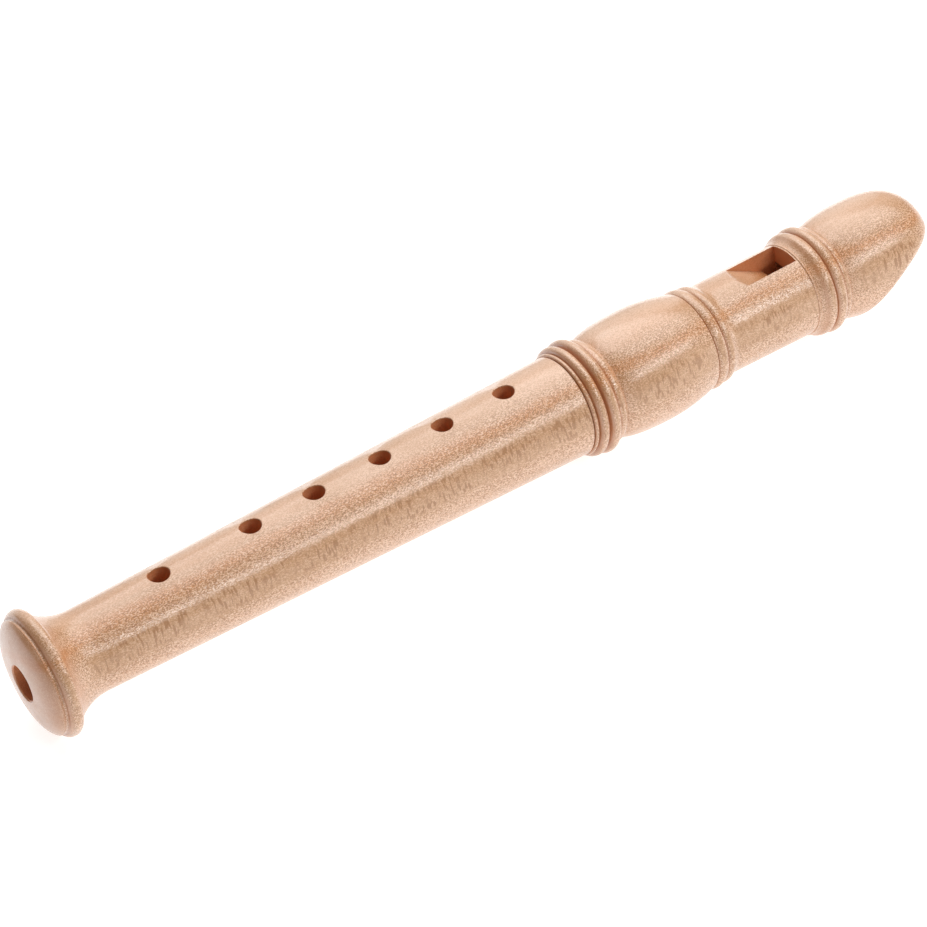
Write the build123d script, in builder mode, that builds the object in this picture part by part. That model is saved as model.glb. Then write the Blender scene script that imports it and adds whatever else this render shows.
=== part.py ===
from build123d import *
import os

# Soprano recorder, lying along X with its beak at +X and its finger holes facing +Z.
# Units are mm. A station is a distance from the foot end along the bore axis, and an
# outline is drawn as (station, radius), then turned round the bore axis.

# ---------------------------------------------------------------- driving dimensions
overall_length = 305.2
rim_radius = 18.6  # flange at the foot, the widest part
neck_radius = 12.0  # where the foot's cove runs into the body
shoulder_radius = 15.2  # body where it meets the head joint
window_radius = 14.3  # plain length of the head joint round the window
bulge_radius = 17.45  # swelling over the socket
beak_radius = 16.85

foot_bore_radius = 5.2
foot_bore_length = 24.0  # the last stretch of the bore is cylindrical
tenon_bore_radius = 6.4
head_bore_radius = 6.5

shoulder_station = 176.0
seam_gap = 0.12  # between the body's shoulder and the head joint's end
tenon_length = 22.0
tenon_radius = 10.5
socket_radius = 11.0
socket_depth = 22.4
cork_station = 179.8  # start of the cork's recess
cork_length = 14.0
cork_recess_radius = 9.4
running_gap = 0.05  # radial play of the cork, inside and outside
cork_end_gap = 0.1

finger_hole_stations = [44.3, 73.2, 93.7, 115.3, 136.2, 157.1]
finger_hole_radius = 3.1
thumb_hole_station = 163.5
thumb_hole_radius = 2.9
hole_rim_round = 0.3

window_half_width = 5.3
window_start = 252.9  # the labium's edge
window_end = 257.6  # the windway's exit
labium_height = 6.7  # above the bore axis
ramp_start = 240.0  # where the ramp leaves the surface, at the window's sides
ramp_start_height = 13.1
undercut_length = 7.5
undercut_height = 6.4

windway_floor = 6.1
windway_ceiling = 7.5
windway_mouth_floor = 6.6
windway_mouth_ceiling = 8.4
windway_exit_chamfer = 0.5

# ---------------------------------------------------------------- worked-out values
foot_end_x = -overall_length / 2
axis_height = rim_radius
tenon_end = shoulder_station + tenon_length
head_start = shoulder_station + seam_gap
socket_end = head_start + socket_depth
cork_end = cork_station + cork_length
bore_end = overall_length + 2.0  # just past the beak's end
clear = 30.0  # long enough to cut right through the wall

bore_axis = Axis((foot_end_x, 0, axis_height), (1, 0, 0))
turning_plane = Plane(origin=(foot_end_x, 0, axis_height))
under_plane = Plane(origin=(foot_end_x, 0, axis_height), x_dir=(1, 0, 0), z_dir=(0, 1, 0))
side_plane = Plane(origin=(foot_end_x, 0, axis_height), x_dir=(1, 0, 0), z_dir=(0, -1, 0))
back_plane = Plane(origin=(foot_end_x, 0, axis_height), x_dir=(1, 0, 0), z_dir=(0, 0, -1))

# ---------------------------------------------------------------- turned mouldings
# Each bead is where it starts, its crown and where it ends, from the foot to the beak.
dome_pull = (0.3, 14.6)  # control point of the domed end
dome_end = (3.1, 16.8)
rim_cove = (3.75, 16.55)  # round groove between the dome and the rim
rim_start = (4.3, 17.35)
rim_crown = (6.4, rim_radius)
rim_back = (8.6, 16.4)
neck_station = 19.5

end_bead = ((head_start, 15.3), (176.7, 15.75), (177.3, 15.5))
socket_torus = ((177.6, 15.8), (179.0, 17.0), (180.3, 16.3))
socket_bead = ((180.9, 16.3), (182.4, 17.6), (184.3, 16.1))
collar_bead = ((184.5, 15.6), (185.9, 16.05), (187.3, 15.4))
bulge_start = (187.7, 15.15)
bulge_pull = (191.5, bulge_radius)  # control point of the steep side of the bulge
bulge_crown = (204.0, bulge_radius)
bulge_end = (220.4, 15.15)
waist_bead = ((220.7, 15.1), (222.3, 15.6), (223.9, 15.1))
waist_ring = ((224.3, 14.7), (225.6, 15.15), (227.0, 14.6))
window_length_start = (229.4, 13.95)
window_length_end = (258.0, window_radius)
window_edge = ((258.0, window_radius), (258.5, 14.6), (258.9, 14.3))
ring_cove = ((258.9, 14.3), (260.1, 14.9), (261.0, 15.7))
ring_torus = ((261.0, 15.7), (262.5, 16.25), (263.8, 15.8))
ring_bead = ((264.2, 15.9), (265.9, 16.75), (267.5, 15.9))
ring_collar = ((267.8, 15.3), (268.8, 15.55), (269.8, 14.9))
beak_start = (270.2, 14.6)
beak_pull = (275.5, beak_radius)  # control point of the beak's rise from its rings
beak_crown = (285.5, beak_radius)
nose_station = overall_length + 0.9  # where the beak's curve would meet the axis
nose_side_pull = 0.66  # how far the beak keeps its width, as a share of its length
nose_end_pull = 0.83  # how blunt its end is, as a share of its radius

groove_depth = 0.35
fine_line_depth = 0.2
deep_line_depth = 0.6
bore_edge_chamfer = 0.4

# Underside of the beak: a hollow cut, from the belly up to the tip.
cut_start = (276.2, -17.5)
cut_middle = (291.5, -0.2)
cut_tip = (bore_end, 4.4)
cut_edge_round = 3.0


def bead(points):
    """Draws one turned bead as an arc over its crown."""
    start, crown, end = points
    ThreePointArc(start, crown, end)


def groove(before, after, depth=groove_depth):
    """Draws the V-shaped line cut between two mouldings."""
    floor = ((before[0] + after[0]) / 2, min(before[1], after[1]) - depth)
    Polyline(before, floor, after)


# ---------------------------------------------------------------- body joint
with BuildPart() as body_joint:
    with BuildSketch(turning_plane):
        with BuildLine():
            Line((bore_edge_chamfer, foot_bore_radius), (0, foot_bore_radius + bore_edge_chamfer))
            Bezier((0, foot_bore_radius + bore_edge_chamfer), dome_pull, dome_end)
            ThreePointArc(dome_end, rim_cove, rim_start)
            TangentArc(rim_crown, rim_start, tangent=(-1, 0))
            TangentArc(rim_crown, rim_back, tangent=(1, 0))
            TangentArc((neck_station, neck_radius), rim_back, tangent=(-1, 0))
            Line((neck_station, neck_radius), (shoulder_station - 0.3, shoulder_radius))
            Polyline(
                (shoulder_station - 0.3, shoulder_radius),
                (shoulder_station, shoulder_radius - 0.3),
                (shoulder_station, tenon_radius),
                (cork_station, tenon_radius),
                (cork_station, cork_recess_radius),
                (cork_end, cork_recess_radius),
                (cork_end, tenon_radius),
                (tenon_end - 0.6, tenon_radius),
                (tenon_end, tenon_radius - 0.6),
                (tenon_end, tenon_bore_radius),
                (foot_bore_length, foot_bore_radius),
                (bore_edge_chamfer, foot_bore_radius),
            )
        make_face()
    revolve(axis=bore_axis)
    for station in finger_hole_stations:
        with BuildSketch(turning_plane):
            with Locations((station, 0)):
                Circle(finger_hole_radius)
        extrude(amount=clear, mode=Mode.SUBTRACT)
        fillet(body_joint.edges(Select.LAST).sort_by(Axis.Z)[-1], hole_rim_round)
    with BuildSketch(back_plane):
        with Locations((thumb_hole_station, 0)):
            Circle(thumb_hole_radius)
    extrude(amount=clear, mode=Mode.SUBTRACT)
    fillet(body_joint.edges(Select.LAST).sort_by(Axis.Z)[0], hole_rim_round)

# ---------------------------------------------------------------- tenon cork
with BuildPart() as tenon_cork:
    with BuildSketch(turning_plane):
        with BuildLine():
            Polyline(
                (cork_station + cork_end_gap, cork_recess_radius + running_gap),
                (cork_station + cork_end_gap, socket_radius - running_gap),
                (cork_end - cork_end_gap, socket_radius - running_gap),
                (cork_end - cork_end_gap, cork_recess_radius + running_gap),
                close=True,
            )
        make_face()
    revolve(axis=bore_axis)

# ---------------------------------------------------------------- head joint's turned outside
with BuildPart() as head_blank:
    with BuildSketch(under_plane):
        with BuildLine():
            Line((head_start, 0), end_bead[0])
            bead(end_bead)
            groove(end_bead[2], socket_torus[0], fine_line_depth)
            bead(socket_torus)
            groove(socket_torus[2], socket_bead[0], deep_line_depth)
            bead(socket_bead)
            groove(socket_bead[2], collar_bead[0])
            bead(collar_bead)
            Line(collar_bead[2], bulge_start)
            Bezier(bulge_start, bulge_pull, bulge_crown)
            TangentArc(bulge_crown, bulge_end, tangent=(1, 0))
            groove(bulge_end, waist_bead[0])
            bead(waist_bead)
            groove(waist_bead[2], waist_ring[0])
            bead(waist_ring)
            TangentArc(window_length_start, waist_ring[2], tangent=(-1, 0))
            Line(window_length_start, window_length_end)
            bead(window_edge)
            bead(ring_cove)
            bead(ring_torus)
            groove(ring_torus[2], ring_bead[0])
            bead(ring_bead)
            groove(ring_bead[2], ring_collar[0])
            bead(ring_collar)
            Line(ring_collar[2], beak_start)
            Bezier(beak_start, beak_pull, beak_crown)
            Bezier(
                beak_crown,
                (beak_crown[0] + nose_side_pull * (nose_station - beak_crown[0]), beak_radius),
                (nose_station, nose_end_pull * beak_radius),
                (nose_station, 0),
            )
            Line((nose_station, 0), (head_start, 0))
        make_face()
    revolve(axis=bore_axis)
    with BuildSketch(side_plane):
        with BuildLine():
            ThreePointArc(cut_start, cut_middle, cut_tip)
            Polyline(cut_tip, (cut_tip[0], -clear), (cut_start[0], -clear), cut_start)
        make_face()
    extrude(amount=clear, both=True, mode=Mode.SUBTRACT)
    fillet(head_blank.edges(Select.LAST), cut_edge_round)

# ---------------------------------------------------------------- block
with BuildPart() as block:
    with BuildSketch(turning_plane):
        with BuildLine():
            Polyline(
                (window_end, 0),
                (window_end, head_bore_radius),
                (bore_end, head_bore_radius),
                (bore_end, 0),
                close=True,
            )
        make_face()
    revolve(axis=bore_axis)
    with BuildSketch(side_plane):
        with BuildLine():
            Polyline(
                (window_end, 0),
                (window_end, windway_floor - windway_exit_chamfer),
                (window_end + windway_exit_chamfer, windway_floor),
                (bore_end, windway_mouth_floor),
                (bore_end, 0),
                close=True,
            )
        make_face()
    extrude(amount=window_half_width, both=True)
    add(head_blank.part, mode=Mode.INTERSECT)

# ---------------------------------------------------------------- head joint
with BuildPart() as head_joint:
    add(head_blank.part)
    with BuildSketch(turning_plane):
        with BuildLine():
            Polyline(
                (head_start, 0),
                (head_start, socket_radius),
                (socket_end, socket_radius),
                (socket_end, head_bore_radius),
                (bore_end, head_bore_radius),
                (bore_end, 0),
                close=True,
            )
        make_face()
    revolve(axis=bore_axis, mode=Mode.SUBTRACT)
    with BuildSketch(side_plane):
        with BuildLine():
            Polyline(
                (window_end, 0),
                (window_end, windway_ceiling + windway_exit_chamfer),
                (window_end + windway_exit_chamfer, windway_ceiling),
                (bore_end, windway_mouth_ceiling),
                (bore_end, 0),
                close=True,
            )
        make_face()
    extrude(amount=window_half_width, both=True, mode=Mode.SUBTRACT)
    ramp_rise = (ramp_start_height - labium_height) / (window_start - ramp_start)
    with BuildSketch(side_plane):
        with BuildLine():
            Polyline(
                (window_start, labium_height),
                (window_start - (clear - labium_height) / ramp_rise, clear),
                (window_end, clear),
                (window_end, 0),
                (window_start, 0),
                close=True,
            )
        make_face()
    extrude(amount=window_half_width, both=True, mode=Mode.SUBTRACT)
    with BuildSketch(side_plane):
        with BuildLine():
            Polyline(
                (window_start, 0),
                (window_start, undercut_height),
                (window_start - undercut_length, undercut_height),
                (window_start - undercut_length - undercut_height, 0),
                close=True,
            )
        make_face()
    extrude(amount=window_half_width, both=True, mode=Mode.SUBTRACT)

# ---------------------------------------------------------------- written pieces
pieces = {
    "body_joint": body_joint,
    "tenon_cork": tenon_cork,
    "head_joint": head_joint,
    "block": block,
}
os.makedirs("parts", exist_ok=True)
for piece_name, piece in pieces.items():
    piece.part.label = piece_name
    export_step(piece.part, f"parts/{piece_name}.step")
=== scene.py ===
import math
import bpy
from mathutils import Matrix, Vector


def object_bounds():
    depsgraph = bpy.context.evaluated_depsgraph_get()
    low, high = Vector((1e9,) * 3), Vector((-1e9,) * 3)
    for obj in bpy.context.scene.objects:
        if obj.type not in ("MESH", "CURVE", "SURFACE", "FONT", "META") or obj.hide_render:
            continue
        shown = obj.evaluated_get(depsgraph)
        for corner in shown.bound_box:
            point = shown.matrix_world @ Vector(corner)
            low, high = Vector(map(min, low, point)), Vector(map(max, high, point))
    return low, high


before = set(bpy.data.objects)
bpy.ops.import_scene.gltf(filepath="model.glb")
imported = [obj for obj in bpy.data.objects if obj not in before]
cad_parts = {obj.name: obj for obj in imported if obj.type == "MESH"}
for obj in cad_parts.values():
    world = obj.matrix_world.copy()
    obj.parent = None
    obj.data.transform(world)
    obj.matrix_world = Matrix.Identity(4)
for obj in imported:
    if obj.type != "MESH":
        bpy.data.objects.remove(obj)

from types import SimpleNamespace

import bpy
from mathutils import Matrix, Vector

# Soprano recorder in pale maple, with a cedar block and a cork ring. The CAD nodes keep their
# shapes; this script gives them their materials, and the floor, lights and camera of a white
# studio. A station is a distance in mm from the foot's end along the bore.
MM = 0.001
cad_low, cad_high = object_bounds()
centre = (cad_low + cad_high) / 2


# ---------------------------------------------------------------- node helpers
class Nodes:
    """A material's node tree, with short calls for the nodes that the woods share."""

    def __init__(self, name):
        self.material = bpy.data.materials.new(name)
        self.material.use_nodes = True
        self.tree = self.material.node_tree
        self.shader = self.tree.nodes["Principled BSDF"]

    def add(self, kind, **settings):
        node = self.tree.nodes.new(kind)
        for key, value in settings.items():
            setattr(node, key, value)
        return node

    def feed(self, socket, value):
        """Sets a socket to a number or colour, or links an output to it."""
        if isinstance(value, bpy.types.NodeSocket):
            self.tree.links.new(value, socket)
        else:
            socket.default_value = value

    def math(self, operation, a, b=0.0, c=0.0):
        node = self.add("ShaderNodeMath", operation=operation)
        for socket, value in zip(node.inputs, (a, b, c)):
            self.feed(socket, value)
        return node.outputs[0]

    def grain_space(self, offset, turn):
        """The billet's own axes in mm: along the grain, round the rings, across the rings."""
        place = self.add("ShaderNodeTexCoord").outputs["Object"]
        scaled = self.add("ShaderNodeMapping", vector_type="POINT")
        self.feed(scaled.inputs["Vector"], place)
        scaled.inputs["Scale"].default_value = (1 / MM, 1 / MM, 1 / MM)
        scaled.inputs["Rotation"].default_value = (turn, 0, 0)
        scaled.inputs["Location"].default_value = offset
        return scaled.outputs[0]

    def facing(self, x, y, z):
        """How squarely the surface faces along a direction, from 0 to 1, on either side."""
        dot = self.add("ShaderNodeVectorMath", operation="DOT_PRODUCT")
        self.feed(dot.inputs[0], self.add("ShaderNodeTexCoord").outputs["Normal"])
        dot.inputs[1].default_value = (x, y, z)
        return self.math("ABSOLUTE", dot.outputs["Value"])

    def station_side_radius(self):
        """Distance from the foot's end, from the upright plane and from the bore's axis, in mm."""
        part = self.add("ShaderNodeSeparateXYZ")
        self.feed(part.inputs[0], self.add("ShaderNodeTexCoord").outputs["Object"])
        station = self.math("MULTIPLY_ADD", part.outputs[0], 1 / MM, -cad_low.x / MM)
        side = self.math("MULTIPLY", part.outputs[1], 1 / MM)
        rise = self.math("MULTIPLY_ADD", part.outputs[2], 1 / MM, -centre.z / MM)
        squares = self.math("ADD", self.math("POWER", side, 2), self.math("POWER", rise, 2))
        return station, self.math("ABSOLUTE", side), self.math("SQRT", squares)

    def stretched(self, vector, sizes, shift=(0, 0, 0)):
        """The same place measured in steps of the given sizes in mm."""
        node = self.add("ShaderNodeMapping", vector_type="POINT")
        self.feed(node.inputs["Vector"], vector)
        node.inputs["Scale"].default_value = [1 / size for size in sizes]
        node.inputs["Location"].default_value = shift
        return node.outputs[0]

    def noise(self, vector, sizes, shift=(0, 0, 0), detail=2.0, roughness=0.5, distortion=0.0):
        """Soft blotches of about the given sizes in mm, from 0 to 1."""
        node = self.add("ShaderNodeTexNoise", noise_dimensions="3D")
        self.feed(node.inputs["Vector"], self.stretched(vector, sizes, shift))
        node.inputs["Scale"].default_value = 1.0
        node.inputs["Detail"].default_value = detail
        node.inputs["Roughness"].default_value = roughness
        node.inputs["Distortion"].default_value = distortion
        return node.outputs["Fac"]

    def cells(self, vector, sizes):
        """The distance to the nearest of many points, scattered by the given sizes in mm."""
        node = self.add("ShaderNodeTexVoronoi", feature="F1", voronoi_dimensions="3D")
        self.feed(node.inputs["Vector"], self.stretched(vector, sizes))
        node.inputs["Scale"].default_value = 1.0
        node.inputs["Randomness"].default_value = 1.0
        return node.outputs["Distance"]

    def remap(self, value, low, high, to_low=0.0, to_high=1.0):
        """A smooth step from one value to another between low and high, held outside them."""
        node = self.add("ShaderNodeMapRange", interpolation_type="SMOOTHSTEP", clamp=True)
        for name, number in zip(
            ("Value", "From Min", "From Max", "To Min", "To Max"),
            (value, low, high, to_low, to_high),
        ):
            self.feed(node.inputs[name], number)
        return node.outputs["Result"]

    def mix(self, factor, a, b):
        node = self.add("ShaderNodeMix", data_type="RGBA", blend_type="MIX")
        self.feed(node.inputs["Factor"], factor)
        self.feed(node.inputs["A"], a)
        self.feed(node.inputs["B"], b)
        return node.outputs["Result"]

    def bump(self, height, strength, depth):
        """Relief in the surface's normal, from a height of 0 to 1 and a depth in mm."""
        node = self.add("ShaderNodeBump")
        node.inputs["Strength"].default_value = strength
        node.inputs["Distance"].default_value = depth * MM
        self.feed(node.inputs["Height"], height)
        self.feed(self.shader.inputs["Normal"], node.outputs[0])
        return node.outputs[0]


def rgb(red, green, blue):
    """A colour from 0 to 255 per channel, as the linear values that nodes take."""

    def linear(channel):
        share = channel / 255
        return share / 12.92 if share <= 0.04045 else ((share + 0.055) / 1.055) ** 2.4

    return (linear(red), linear(green), linear(blue), 1.0)


def wood(name, offset, turn, tones, ring_depth, inner_wall=None):
    """A lacquered wood: fine flecks along the grain, and cross ticks where its rays lie flat.

    ring_depth is how far the late wood's band lies above the bore's axis, in mm, and
    inner_wall gives the bare walls of a piece that has them.
    """
    n = Nodes(name)
    grain = n.grain_space(offset, turn)
    end_grain = n.remap(n.facing(1, 0, 0), 0.35, 0.95)
    flat_sawn = n.facing(0, math.sin(turn), math.cos(turn))
    quarter_sawn = n.facing(0, math.cos(turn), -math.sin(turn))

    # Broad colour: long patches, and the growth rings.
    patches = n.noise(grain, (60, 16, 9), detail=3, roughness=0.55)
    colour = n.mix(n.remap(patches, 0.38, 0.62), tones.pale, tones.tan)
    rings = n.noise(grain, (90, 30, 4.2), detail=3, roughness=0.5, distortion=0.25)
    colour = n.mix(n.remap(rings, 0.5, 0.66, 0.0, 0.2), colour, tones.orange)
    ring_ends = n.noise(grain, (120, 34, 1.5), (3, 8, 1), detail=2, distortion=0.2)
    colour = n.mix(n.remap(ring_ends, 0.58, 0.7, 0.0, 0.12), colour, tones.fleck)

    # One growth ring's late wood, a broad orange band near the top of the billet.
    across_rings = n.add("ShaderNodeSeparateXYZ")
    n.feed(across_rings.inputs[0], grain)
    warp = n.noise(grain, (45, 12, 12), (4, 4, 4), detail=3, roughness=0.6)
    ring_sway = 5.0  # mm, over the warp's whole range of 0 to 1
    depth = n.math("MULTIPLY_ADD", warp, ring_sway, across_rings.outputs[2])
    axis_depth = centre.z / MM * math.cos(turn) + offset[2]
    ring_centre = axis_depth + ring_depth + ring_sway / 2
    from_ring = n.math("ABSOLUTE", n.math("SUBTRACT", depth, ring_centre))
    patchy = n.remap(patches, 0.3, 0.6, 0.45, 1.0)
    late_wood = n.math("MULTIPLY", n.remap(from_ring, 2.6, 0.3, 0.0, 0.95), patchy)
    colour = n.mix(late_wood, colour, tones.orange)

    # Fibres: a fine speckle, faint where the rings or the rays lie flat and on end grain. The
    # light specks are pale fibres and painted glints as well.
    fibres = n.noise(grain, (0.55, 0.24, 0.24), detail=1.0, roughness=0.6)
    off_rings = n.remap(flat_sawn, 0.95, 0.6, 0.35, 1.0)
    off_ends = n.remap(end_grain, 0, 1, 1.0, 0.3)
    off_rays = n.remap(quarter_sawn, 0.92, 0.985, 1.0, 0.45)
    speckle = n.math("MULTIPLY", n.math("MULTIPLY", off_rings, off_ends), off_rays)
    colour = n.mix(n.remap(quarter_sawn, 0.87, 1.0, 0.0, 0.6), colour, tones.ray_side)
    dark_speck = n.math("MULTIPLY", n.remap(fibres, 0.47, 0.62, 0.0, 0.9), speckle)
    # Painted glints: the light specks, paler than the wood, stand in for sparkle on the lacquer as
    # well as for pale fibres.
    light_speck_and_glint = n.math("MULTIPLY", n.remap(fibres, 0.5, 0.36, 0.0, 0.9), speckle)
    colour = n.mix(dark_speck, colour, tones.fleck)
    colour = n.mix(light_speck_and_glint, colour, tones.bright)

    # Rays: thin sheets, a millimetre high and several deep, seen as cross ticks on the flank.
    rays = n.noise(grain, (0.75, 0.5, 3.6), (5, 9, 2), detail=1.0, roughness=0.5)
    groups = n.noise(grain, (14, 5, 5), (1, 6, 3), detail=1.5)
    lying_flat = n.remap(quarter_sawn, 0.95, 0.985, 0.05, 0.75)
    ray = n.math("MULTIPLY", n.remap(rays, 0.52, 0.59), n.remap(groups, 0.38, 0.55, 0.3, 1.0))
    ray = n.math("MULTIPLY", ray, lying_flat)
    colour = n.mix(ray, colour, tones.ray_tick)

    # End grain takes the finish darker. The grooves get painted shade: their colour is darkened
    # where nearby surfaces hem them in.
    pores = n.noise(grain, (9, 0.7, 0.5), (6, 2, 7), detail=2, roughness=0.7)
    end_stain = n.math("MULTIPLY", end_grain, n.remap(pores, 0.35, 0.7, 0.4, 0.65))
    colour = n.mix(end_stain, colour, tones.rust)
    # Painted shade: this ambient occlusion darkens grooves and recesses towards the end grain's
    # darker tone.
    hollow = n.add("ShaderNodeAmbientOcclusion", samples=6, only_local=True)
    hollow.inputs["Distance"].default_value = 1.6 * MM
    painted_groove_shade = n.remap(hollow.outputs["AO"], 0.84, 0.4, 0.0, 0.65)
    colour = n.mix(painted_groove_shade, colour, tones.rust)

    # Satin lacquer, rougher in patches and where the flecks are.
    patch = n.noise(grain, (9, 5, 5), (2, 4, 8), detail=3)
    roughness = n.remap(patch, 0.35, 0.65, 0.34, 0.46)
    roughness = n.math("MULTIPLY_ADD", n.remap(fibres, 0.5, 0.7), 0.1, roughness)
    n.shader.inputs["IOR"].default_value = 1.5
    n.shader.inputs["Coat Weight"].default_value = 0.9
    n.shader.inputs["Coat Roughness"].default_value = 0.17

    # The bare walls are redder and rougher.
    if inner_wall:
        inner = inner_wall(n, *n.station_side_radius())
        colour = n.mix(n.math("MULTIPLY", inner, 0.8), colour, tones.raw)
        roughness = n.math("MULTIPLY_ADD", inner, 0.3, roughness)
    n.feed(n.shader.inputs["Base Color"], colour)
    n.feed(n.shader.inputs["Roughness"], roughness)

    relief = n.bump(n.math("MULTIPLY", fibres, speckle), strength=0.7, depth=0.08)
    n.feed(n.shader.inputs["Coat Normal"], relief)
    return n.material


def body_walls(n, station, side, radius):
    """1 inside the holes and the bore, less on the tenon, 0 on the turned outside."""
    foot_bore_radius = 5.2
    neck_station, neck_radius = 19.5, 12.0
    shoulder_station = 176.0
    taper = 3.2 / 156.2  # radius gained per mm from the neck to the shoulder
    outside = n.math("MULTIPLY_ADD", station, taper, neck_radius - neck_station * taper)
    holes = n.remap(n.math("SUBTRACT", outside, radius), 0.15, 0.5)
    past_neck = n.remap(station, neck_station - 1.5, neck_station + 2.5)
    off_tenon = n.remap(station, shoulder_station - 1.0, shoulder_station - 0.1, 1.0, 0.3)
    holes = n.math("MULTIPLY", n.math("MULTIPLY", holes, past_neck), off_tenon)
    bore = n.remap(radius, foot_bore_radius + 0.4, foot_bore_radius + 0.1)
    return n.math("MAXIMUM", holes, bore)


def head_walls(n, station, side, radius):
    """1 inside the bore, the socket and the window, 0 on the turned outside."""
    bore_radius, socket_radius, socket_end = 6.5, 11.0, 198.5
    ramp_start, window_end, window_half_width = 240.0, 257.6, 5.3
    bore = n.remap(radius, bore_radius + 0.7, bore_radius + 0.2)
    socket = n.remap(radius, socket_radius + 1.5, socket_radius + 0.2)
    socket = n.math("MULTIPLY", socket, n.remap(station, socket_end + 1.9, socket_end + 0.4))
    upright = n.remap(n.math("MAXIMUM", n.facing(0, 1, 0), n.facing(1, 0, 0)), 0.8, 0.95)
    past_ramp_start = n.remap(station, ramp_start - 2.0, ramp_start)
    before_end = n.remap(station, window_end + 0.6, window_end + 0.2)
    between_sides = n.remap(side, window_half_width + 0.4, window_half_width + 0.1)
    window = n.math("MULTIPLY", past_ramp_start, before_end)
    window = n.math("MULTIPLY", n.math("MULTIPLY", upright, window), between_sides)
    return n.math("MAXIMUM", n.math("MAXIMUM", bore, socket), window)


def cork():
    """Pressed cork: grains of two tones with dark joints between them."""
    n = Nodes("cork_agglomerate")
    grain = n.grain_space((0, 0, 0), 0.4)
    grains = n.cells(grain, (1.1, 1.1, 1.1))
    tone = n.noise(grain, (2.2, 2.2, 2.2), detail=4, roughness=0.7)
    colour = n.mix(n.remap(tone, 0.35, 0.65), rgb(206, 160, 112), rgb(160, 110, 68))
    colour = n.mix(n.remap(grains, 0.55, 0.8, 0.0, 0.8), colour, rgb(92, 58, 36))
    n.feed(n.shader.inputs["Base Color"], colour)
    n.feed(n.shader.inputs["Roughness"], n.remap(tone, 0.3, 0.7, 0.7, 0.9))
    n.bump(n.math("SUBTRACT", tone, grains), strength=0.6, depth=0.15)
    return n.material


# ---------------------------------------------------------------- woods on the CAD nodes
# The rays lie flat on the -Y flank, 17 degrees above level, and opposite it on the +Y flank.
ray_turn = math.radians(17)
block_turn = 0.5
maple_tones = SimpleNamespace(
    # The palest tone is for pale fibres and for painted glints.
    bright=rgb(240, 205, 176),
    pale=rgb(221, 177, 143),
    tan=rgb(201, 153, 112),
    orange=rgb(207, 140, 84),
    ray_side=rgb(194, 148, 104),
    ray_tick=rgb(158, 106, 60),
    fleck=rgb(160, 109, 70),
    # This tone is the end grain's real stain and also the painted shade in the grooves.
    rust=rgb(180, 110, 66),
    raw=rgb(214, 134, 84),
)
cedar_tones = SimpleNamespace(
    # The palest tone is for pale fibres and for painted glints.
    bright=rgb(216, 146, 100),
    pale=rgb(206, 132, 88),
    tan=rgb(190, 112, 68),
    orange=rgb(176, 92, 50),
    ray_side=rgb(182, 106, 64),
    ray_tick=rgb(150, 84, 48),
    fleck=rgb(140, 76, 46),
    # This tone is the end grain's real stain and also the painted shade in the grooves.
    rust=rgb(150, 78, 44),
    raw=rgb(190, 108, 64),
)
maple_ring_depth = 8.3
block_ring_depth = 3.0
finishes = {
    "body_joint": wood(
        "maple_body", (40, 3, 2), ray_turn, maple_tones, maple_ring_depth, body_walls
    ),
    "head_joint": wood(
        "maple_head", (190, 14, 5), ray_turn, maple_tones, maple_ring_depth, head_walls
    ),
    "block": wood("cedar_block", (90, 44, 25), block_turn, cedar_tones, block_ring_depth),
    "tenon_cork": cork(),
}
for node_name, material in finishes.items():
    for slot in bpy.data.objects[node_name].material_slots:
        slot.material = material

# ---------------------------------------------------------------- floor
floor_half = 30.0
floor_gap = 0.1 * MM
paper_grey = 0.6
paper_glow = 0.8
floor_mesh = bpy.data.meshes.new("floor")
floor_mesh.from_pydata(
    [(-floor_half, -floor_half, 0), (floor_half, -floor_half, 0),
     (floor_half, floor_half, 0), (-floor_half, floor_half, 0)],
    [],
    [(0, 1, 2, 3)],
)
floor = bpy.data.objects.new("floor", floor_mesh)
bpy.context.scene.collection.objects.link(floor)
floor.location.z = cad_low.z - floor_gap
paper = Nodes("white_sweep")
paper.shader.inputs["Base Color"].default_value = (paper_grey, paper_grey, paper_grey, 1)
paper.shader.inputs["Roughness"].default_value = 0.9
paper.shader.inputs["Specular IOR Level"].default_value = 0.0
paper.shader.inputs["Emission Color"].default_value = (1, 1, 1, 1)
paper.shader.inputs["Emission Strength"].default_value = paper_glow
floor_mesh.materials.append(paper.material)

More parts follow.
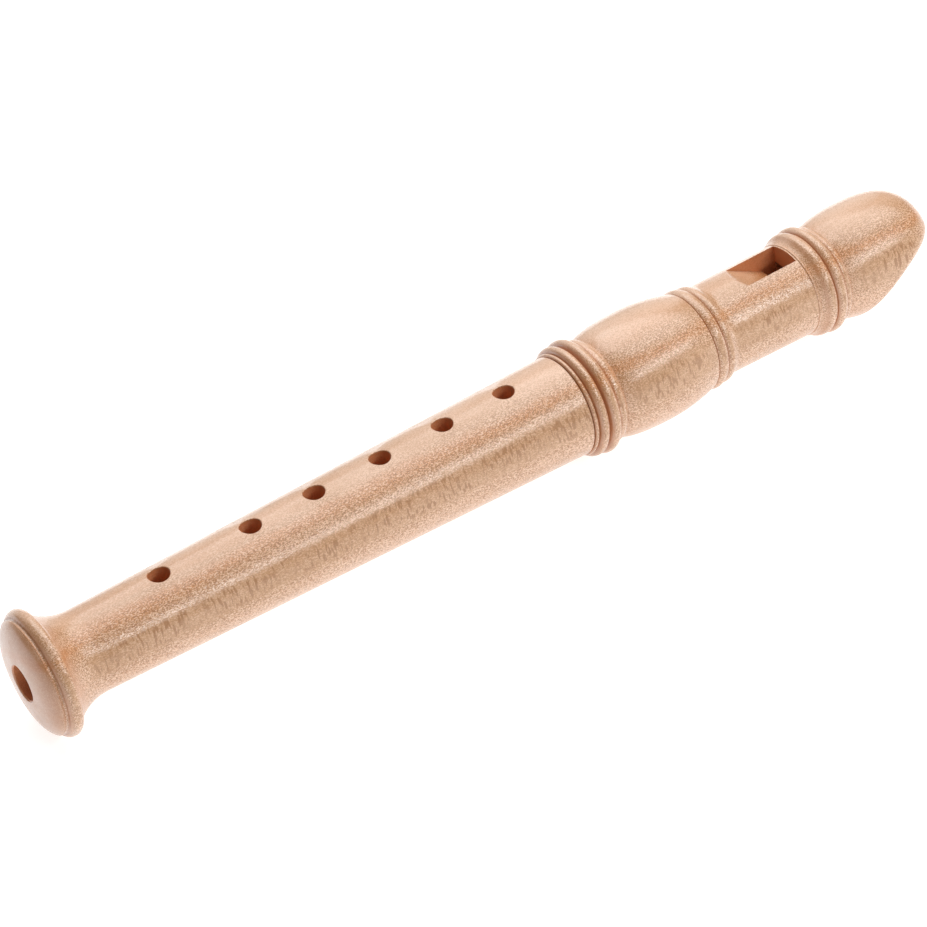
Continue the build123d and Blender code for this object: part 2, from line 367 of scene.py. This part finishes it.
# ---------------------------------------------------------------- lights
world = bpy.data.worlds.new("studio")
bpy.context.scene.world = world
world.use_nodes = True
sky = world.node_tree.nodes["Background"]
sky.inputs["Color"].default_value = (1, 1, 1, 1)
sky.inputs["Strength"].default_value = 0.15


def softbox(name, direction, distance, size, watts):
    """A white rectangular light that faces the middle of the recorder."""
    data = bpy.data.lights.new(name, "AREA")
    data.shape = "RECTANGLE"
    data.size, data.size_y = size
    data.energy = watts
    light = bpy.data.objects.new(name, data)
    bpy.context.scene.collection.objects.link(light)
    light.location = centre + Vector(direction).normalized() * distance
    light.rotation_euler = (centre - light.location).to_track_quat("-Z", "Y").to_euler()


softbox("overhead", direction=(0.35, 0.25, 1.0), distance=1.3, size=(1.8, 1.2), watts=19.5)
softbox("far_fill", direction=(0.2, 1.0, 0.45), distance=1.3, size=(1.8, 0.9), watts=4.5)
softbox("streak", direction=(0.406, -0.775, 0.484), distance=1.1, size=(0.9, 0.05), watts=4.0)

# ---------------------------------------------------------------- camera
camera_offset = Vector((-0.3645, -0.6242, 0.5346))
camera_angles = (60.51, -36.81, -8.51)
camera_yaw, camera_pitch, camera_roll = (math.radians(angle) for angle in camera_angles)
forward = Vector((
    math.cos(camera_pitch) * math.cos(camera_yaw),
    math.cos(camera_pitch) * math.sin(camera_yaw),
    math.sin(camera_pitch),
))
level = forward.cross(Vector((0, 0, 1))).normalized()
upright = level.cross(forward)
right = level * math.cos(camera_roll) + upright * math.sin(camera_roll)
up = upright * math.cos(camera_roll) - level * math.sin(camera_roll)
camera_data = bpy.data.cameras.new("camera")
camera_data.lens = 124.4
camera_data.sensor_width = 36.0
camera_data.clip_start = 0.01
camera_data.clip_end = 100.0
camera = bpy.data.objects.new("camera", camera_data)
bpy.context.scene.collection.objects.link(camera)
camera_axes = Matrix((right, up, -forward)).transposed()
camera.matrix_world = Matrix.Translation(centre + camera_offset) @ camera_axes.to_4x4()
bpy.context.scene.camera = camera
bpy.context.scene.view_settings.view_transform = "Standard"
